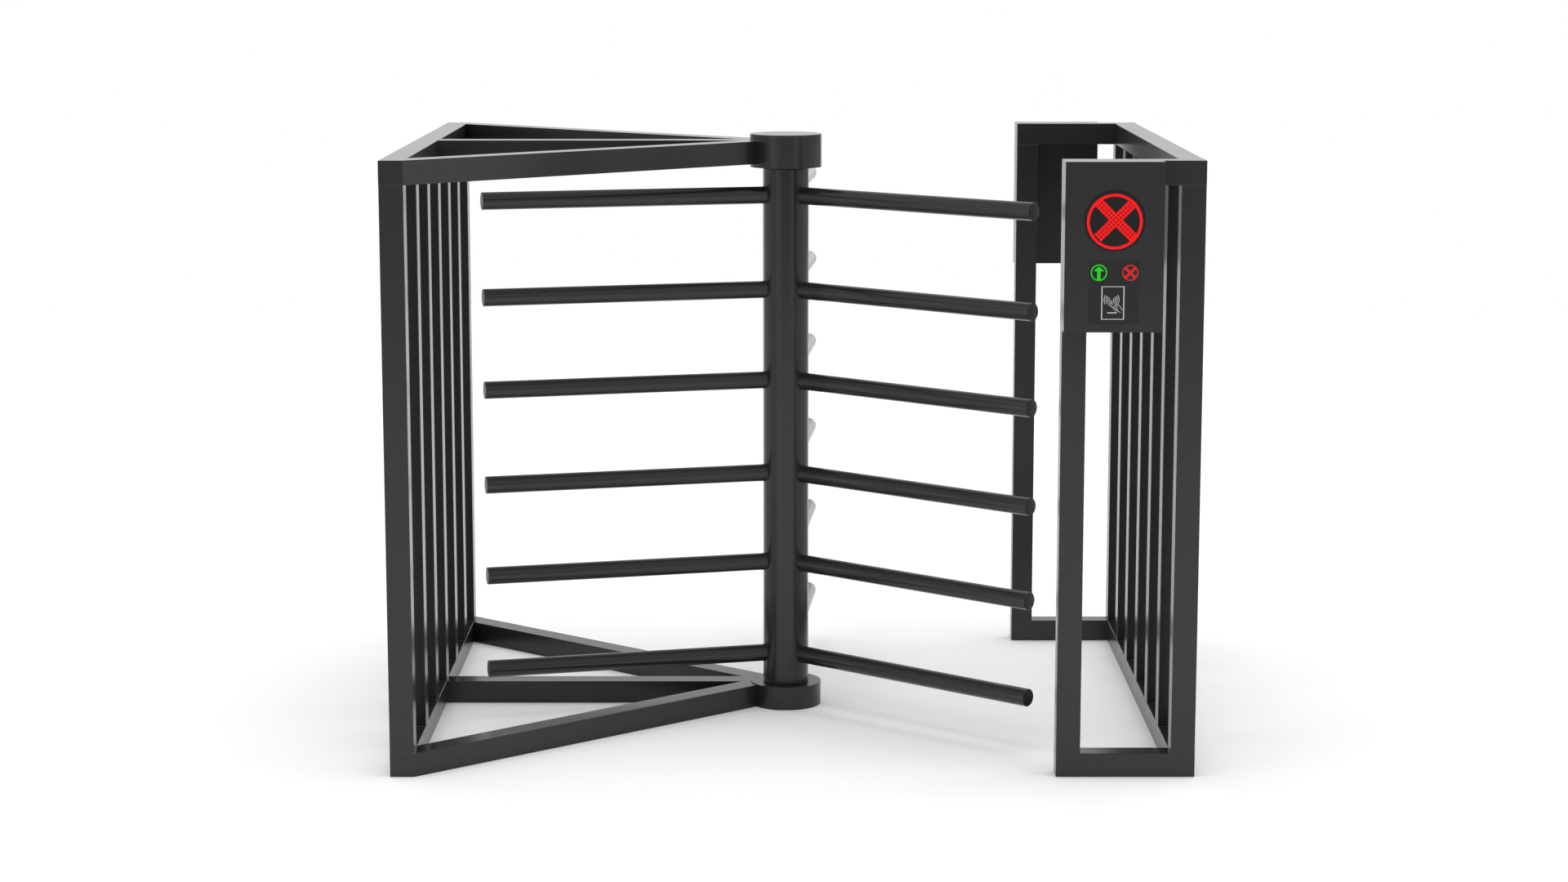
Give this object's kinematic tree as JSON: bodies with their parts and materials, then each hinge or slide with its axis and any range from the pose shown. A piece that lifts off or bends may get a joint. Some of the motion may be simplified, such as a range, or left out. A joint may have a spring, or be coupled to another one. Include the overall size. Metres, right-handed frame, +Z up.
{
  "type": "visitor counter turnstile",
  "caption": "Chest-high rotary turnstile: barred side frames, a column with radial arm wings on bearings, a lock and counting head, and signal boxes with lamp and card reader at both ends.",
  "frame": {"origin": "on the floor, in the middle of the frame's outline", "axes": "+X across the lane, from the bracket frame towards the signal boxes; +Y along the lane, away from the front signal box; +Z up"},
  "size_m": [1.67, 1.406, 1.293],
  "materials": {
    "frame_paint": "smooth satin dark grey powder coat",
    "rotor_paint": "smooth satin dark grey powder coat",
    "machined_steel": "turned",
    "bearing_steel": "ground",
    "zinc": "zinc plated",
    "dark_window": "smoked, satin face",
    "circuit_board": "solder mask",
    "black_plastic": "moulded"
  },
  "bodies": {
    "frame": {"base_cover": "frame_paint", "base_cover_screws": "zinc", "base_housing": "frame_paint", "bearing_balls": "bearing_steel", "bearing_outer_rings": "bearing_steel", "board_screws": "zinc", "board_spacers": "zinc", "board_standoffs": "zinc", "controller_board": "circuit_board", "fork_sensor": "black_plastic", "front_bottom_rail": "frame_paint", "front_inner_post": "frame_paint", "front_lamp_window": "dark_window", "front_outer_post": "frame_paint", "front_reader_window": "dark_window", "front_signal_housing": "frame_paint", "front_top_rail": "frame_paint", "head_housing": "frame_paint", "head_lid": "frame_paint", "head_lid_screws": "zinc", "lamp_boards": "circuit_board", "left_bars": "frame_paint", "left_bottom_rail": "frame_paint", "left_front_post": "frame_paint", "left_rear_post": "frame_paint", "left_top_rail": "frame_paint", "lower_front_bracket": "frame_paint", "lower_middle_bracket": "frame_paint", "lower_rear_bracket": "frame_paint", "rail_end_plates": "frame_paint", "reader_boards": "circuit_board", "rear_bottom_rail": "frame_paint", "rear_inner_post": "frame_paint", "rear_lamp_window": "dark_window", "rear_outer_post": "frame_paint", "rear_reader_window": "dark_window", "rear_signal_housing": "frame_paint", "rear_top_rail": "frame_paint", "right_bars": "frame_paint", "right_bottom_rail": "frame_paint", "right_top_rail": "frame_paint", "seal_collar": "black_plastic", "signal_back_plates": "frame_paint", "signal_box_screws": "zinc", "solenoid_can": "zinc", "upper_front_bracket": "frame_paint", "upper_middle_bracket": "frame_paint", "upper_rear_bracket": "frame_paint"},
    "rotor": {"rotor_column": "rotor_paint", "rotor_flanges": "machined_steel", "upper_spindle": "machined_steel", "lower_spindle": "machined_steel", "bearing_inner_rings": "bearing_steel", "lock_wheel": "machined_steel", "counting_disc": "machined_steel", "left_wing": "rotor_paint", "right_wing": "rotor_paint", "rear_wing": "rotor_paint", "arm_end_caps": "rotor_paint"},
    "lock_pin": {"lock_pin": "machined_steel"}
  },
  "joints": [
    {"name": "rotor_spin", "type": "hinge", "parent": "frame", "child": "rotor", "pos_m": [-0.013, -0.018, 0.6], "axis": [0, 0, 1], "continuous": true},
    {"name": "lock_pin_slide", "type": "slide", "parent": "frame", "child": "lock_pin", "axis": [0, 0, 1], "range_m": [0, 0.009]}
  ]
}
